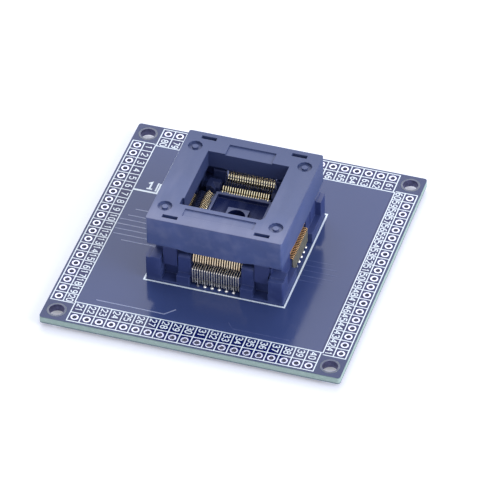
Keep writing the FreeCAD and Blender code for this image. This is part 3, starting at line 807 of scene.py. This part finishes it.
def make_tracks():
    """Copper tracks, seen as low ridges under the mask, and deeper ones that hardly show."""
    shape = Shape()
    for y, x in ((4.95, -23.0), (2.83, -23.9), (1.4, -25.2), (-0.1, -25.2), (-1.6, -25.2),
                 (-3.13, -25.0), (-4.75, -22.8)):
        shape.stroke([(x, y), (-14.0, y)], 0.24, 0.0, 0.035)
    for y, x in ((0.2, 20.5), (-1.3, 21.5), (-2.8, 22.0), (-4.4, 21.5), (-5.9, 20.0)):
        shape.stroke([(14.0, y), (x, y)], 0.3, 0.0, 0.02, slot=1)
    shape.stroke([(-21.7, -23.2), (-7.5, -23.25), (-5.65, -21.36)], 0.24, 0.0, 0.035)
    shape.stroke([(5.4, -21.9), (6.7, -23.42), (18.4, -23.42)], 0.24, 0.0, 0.03, slot=1)
    made = shape.build("mask_tracks", [track_mask, faint_mask])
    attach(made, "adapter")


def make_solder():
    """Solder cones where the contacts' tails pass the board, and fillets on the underside."""
    shape = Shape()
    for side, (nx, ny) in SIDES.items():
        for lead, (at, row) in enumerate(LEADS):
            r = TAIL_RADII[row]
            x, y = r * nx - at * ny, r * ny + at * nx
            # painted shade: the third joint of each side and the sixth of the right side take darker
            # solder
            shaded_joint = lead == 2 or (side, lead) == ("right", 5)
            shape.turned(CONE, x, y, 12, 1 if shaded_joint else 0)
            shape.turned(under(FILLET), x, y, 14)
    made = shape.build("solder_joints", [metal["solder"], metal["shaded_solder"]], 80)
    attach(made, "adapter")


make_legend()
make_header_rings()
make_corner_rims()
make_tracks()
make_solder()


# Contacts: outlines of (distance from the middle, height)

LEG_OUT, LEG_IN = 13.48, 13.22


def tail_outline(row):
    """Fixed half of a contact with softened bends. The outer row's leg goes straight down."""
    r = TAIL_RADII[row]
    corners = [(9.9, 5.8, 0.12), (11.1, 5.8, 0.2), (11.1, 4.33, 0.25), (LEG_OUT, 4.33, 0.3)]
    if row:
        corners += [(LEG_OUT, 0.65, 0.15), (r + 0.13, 0.65, 0.1)]
    corners += [(r + 0.1, -2.5, 0.06), (r - 0.1, -2.5, 0.06)]
    if row:
        corners += [(r - 0.13, 0.91, 0.15), (LEG_IN, 0.91, 0.1)]
    corners += [(LEG_IN, 4.07, 0.12), (9.9, 4.07, 0.12)]
    return rounded([(x, z) for x, z, _ in corners], [bend for _, _, bend in corners])


ARM = rounded(
    [(10.46, 5.95), (10.1, 6.25), (8.7, 6.86), (7.5, 7.45), (6.45, 8.45), (7.15, 9.2),
     (7.95, 7.95), (9.3, 7.1), (10.15, 7.25), (10.17, 7.9), (10.05, 8.36), (10.32, 8.64),
     (10.3, 8.82), (10.2, 8.88), (10.6, 9.34), (10.82, 10.1), (11.3, 10.1), (11.9, 8.3),
     (12.5, 7.0), (12.9, 5.75), (12.9, 5.3), (12.6, 5.3), (12.15, 6.9), (11.5, 8.1),
     (11.0, 9.2), (10.76, 5.95)],
    [0.05, 0.3, 0.5, 0.5, 0.08, 0.25,
     0.5, 0.6, 0.3, 0.3, 0.07, 0.07,
     0.05, 0.06, 0.1, 0.2, 0.4, 0.8,
     0.8, 0.3, 0.12, 0.12, 0.6, 0.5,
     0.25, 0.05],
)
JAW = rounded([(5.85, 7.9), (5.85, 8.0), (6.2, 8.36), (6.6, 8.36), (6.6, 7.9)],
              [0.02, 0.04, 0.08, 0.05, 0.02], 2)
SHORT_JAW = rounded([(6.2, 8.1), (6.2, 8.25), (6.3, 8.33), (6.6, 8.33), (6.6, 8.1)], 0.03, 2)
# the seat's rim leaves less room near the ends of a side
SHORT_JAW_LEADS = (1, 2, 3, 17, 18)
FLEXURE = [(10.5, 5.6), (10.72, 5.6), (10.76, 5.95), (10.76, 6.4), (10.46, 6.4), (10.46, 5.95)]

for side, (nx, ny) in SIDES.items():
    arm_metal, arm_flank, tail_metal, tail_flank = (metal[m] for m in CONTACT_METALS[side])
    tails, claws, jaws, flexures = Shape(), Shape(), Shape(), Shape()
    for lead, (at, row) in enumerate(LEADS):
        tails.strip(tail_outline(row), 0.1, at, side, flank=1)
        claws.strip(ARM, 0.115, at, side, 0.035, flank=1)
        jaws.strip(SHORT_JAW if lead in SHORT_JAW_LEADS else JAW, 0.12, at, side, flank=1)
        flexures.strip(FLEXURE, 0.09, at, side, 0.02)
    made = tails.build("contact_leads_" + side, [tail_metal, tail_flank])
    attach(made, "adapter")
    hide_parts(*[f"contact_tails_{side}_{row}" for row in ROWS])
    made = claws.build("contact_claws_" + side, [arm_metal, arm_flank])
    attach(made, "arms_" + side)
    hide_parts("contact_arms_" + side)
    made = jaws.build("contact_jaws_" + side, [metal["contact_gold"], arm_flank])
    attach(made, "adapter")
    made = flexures.build("contact_flexures_" + side, [metal["contact_gold"]])
    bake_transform(made)


# Ribs between the contacts, and the cheeks at both ends of each comb

RIB = rounded([(7.6, 5.0), (7.85, 8.3), (8.7, 8.55), (9.3, 8.15), (9.78, 7.7), (9.8, 5.0)],
              [0, 0.3, 0.3, 0.3, 0.2, 0])
CHEEK = rounded([(9.9, 4.9), (9.9, 10.0), (10.2, 10.3), (11.0, 10.3), (11.2, 10.0), (11.2, 4.9)],
                [0, 0.1, 0.1, 0.1, 0.1, 0])

for side in SIDES:
    comb = Shape()
    for k in range(len(LEADS) + 1):
        comb.strip(RIB, 0.09, -5.0 + LEAD_PITCH * k, side, 0.02)
    for middle in (-6.58, 6.58):
        comb.strip(CHEEK, 1.27, middle, side, 0.08)
    made = comb.build("contact_comb_" + side, [base_plastic])
    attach(made, "adapter")


# Springs

TURNS = 7.0
TURN_STEPS = 20
COIL = 1.0
WIRE = 0.14
COIL_LOW, COIL_HIGH = 2.0 + WIRE, 13.9 - WIRE
# turns at each end that lie flat, as on a ground end, and their pitch
FLAT_TURNS = 0.9
FLAT_PITCH = 0.28


def coil_path(x, y):
    """Middle line of a spring's wire."""
    path = []
    total = int(TURNS * TURN_STEPS)
    for i in range(total + 1):
        turn = i / total * TURNS
        share = min(1.0, max(0.0, (turn - FLAT_TURNS) / (TURNS - 2 * FLAT_TURNS)))
        z = COIL_LOW + (COIL_HIGH - COIL_LOW) * share
        if share in (0.0, 1.0):
            z += FLAT_PITCH * (turn if share == 0.0 else turn - TURNS)
            z = min(COIL_HIGH, max(COIL_LOW, z))
        a = 2 * math.pi * turn
        path.append((x + COIL * math.cos(a), y + COIL * math.sin(a), z))
    return path


for name, (x, y) in SPRINGS.items():
    shape = Shape()
    shape.tube(coil_path(x, y), WIRE, 8)
    made = shape.build("spring_coil_" + name, [metal["spring_steel"]], 60)
    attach(made, "adapter")
    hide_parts("cover_spring_" + name)
    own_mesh(made)


# Camera, floor and light

# the photograph's camera: focal length and width in pixels, and the sensor that stands for them
FOCAL_PIXELS = 4397.0
PHOTO_PIXELS = 500.0
SENSOR_MM = 36.0
CAMERA_PLACE = (210.35, -625.89, 584.61 + LIFT)


def make_camera():
    """Camera at the photograph's place, as worked out from the header holes."""
    az, el, roll = math.radians(18.34), math.radians(41.57), math.radians(1.010)
    back = Vector((math.sin(az) * math.cos(el), -math.cos(az) * math.cos(el), math.sin(el)))
    across = Vector((0, 0, 1)).cross(back).normalized()
    up = back.cross(across)
    c, s = math.cos(roll), math.sin(roll)
    right = across * c - up * s
    top = across * s + up * c
    data = bpy.data.cameras.new("camera")
    data.lens = FOCAL_PIXELS / PHOTO_PIXELS * SENSOR_MM
    data.sensor_width = SENSOR_MM
    data.clip_start, data.clip_end = 0.01, 20.0
    cam = bpy.data.objects.new("camera", data)
    bpy.context.scene.collection.objects.link(cam)
    turn = Matrix((right, top, back)).transposed().to_4x4()
    cam.matrix_world = Matrix.Translation(Vector(CAMERA_PLACE) * MM) @ turn
    bpy.context.scene.camera = cam


FLOOR_HALF = 3.0


def make_floor():
    """Large pale floor with a faint glow where it is seen directly."""
    mesh = bpy.data.meshes.new("floor")
    h = FLOOR_HALF
    mesh.from_pydata([(-h, -h, 0), (h, -h, 0), (h, h, 0), (-h, h, 0)], [], [[0, 1, 2, 3]])
    floor = bpy.data.objects.new("floor", mesh)
    bpy.context.scene.collection.objects.link(floor)
    mat = bpy.data.materials.new("floor")
    mat.use_nodes = True
    nodes = Nodes(mat.node_tree)
    out = nodes.node("ShaderNodeOutputMaterial")
    diffuse = nodes.node("ShaderNodeBsdfDiffuse")
    diffuse.inputs["Color"].default_value = (0.76, 0.79, 0.94, 1)
    glow = nodes.node("ShaderNodeEmission")
    glow.inputs["Color"].default_value = (0.95, 0.97, 1.0, 1)
    nodes.link(nodes.math("MULTIPLY", nodes.seen_directly(), 0.3), glow.inputs["Strength"])
    both = nodes.node("ShaderNodeAddShader")
    nodes.link(diffuse.outputs[0], both.inputs[0])
    nodes.link(glow.outputs[0], both.inputs[1])
    nodes.link(both.outputs[0], out.inputs[0])
    mesh.materials.append(mat)


def make_world():
    """White surroundings: plain for the eye and in gloss, gentler as light."""
    world = bpy.data.worlds.new("world")
    bpy.context.scene.world = world
    world.use_nodes = True
    nodes = Nodes(world.node_tree)
    out = nodes.node("ShaderNodeOutputWorld")
    sky = nodes.node("ShaderNodeBackground")
    sky.inputs["Color"].default_value = (1, 1, 1, 1)
    level = nodes.ramp(nodes.seen_directly(), 0.0, 1.0, 0.6, 1.0)
    nodes.link(level, sky.inputs["Strength"])
    nodes.link(sky.outputs[0], out.inputs[0])


# what the lamps look at, over the floor
AIM = (0, 0, 0.008)


def softbox(name, direction, distance, width, height, radiance):
    """Large soft lamp aimed at the object."""
    data = bpy.data.lights.new(name, "AREA")
    data.shape = "RECTANGLE"
    data.size, data.size_y = width, height
    data.energy = radiance * math.pi * width * height
    lamp = bpy.data.objects.new(name, data)
    bpy.context.scene.collection.objects.link(lamp)
    d = Vector(direction).normalized()
    lamp.location = d * distance + Vector(AIM)
    lamp.rotation_euler = d.to_track_quat("Z", "Y").to_euler()
    lamp.visible_camera = False


make_camera()
make_floor()
make_world()
softbox("back_softbox", (-0.235, 0.71, 0.663), 0.6, 0.6, 0.5, 2.1)
softbox("right_softbox", (0.85, -0.15, 0.5), 0.6, 0.4, 0.4, 4.3)
bpy.context.scene.view_settings.view_transform = "Standard"
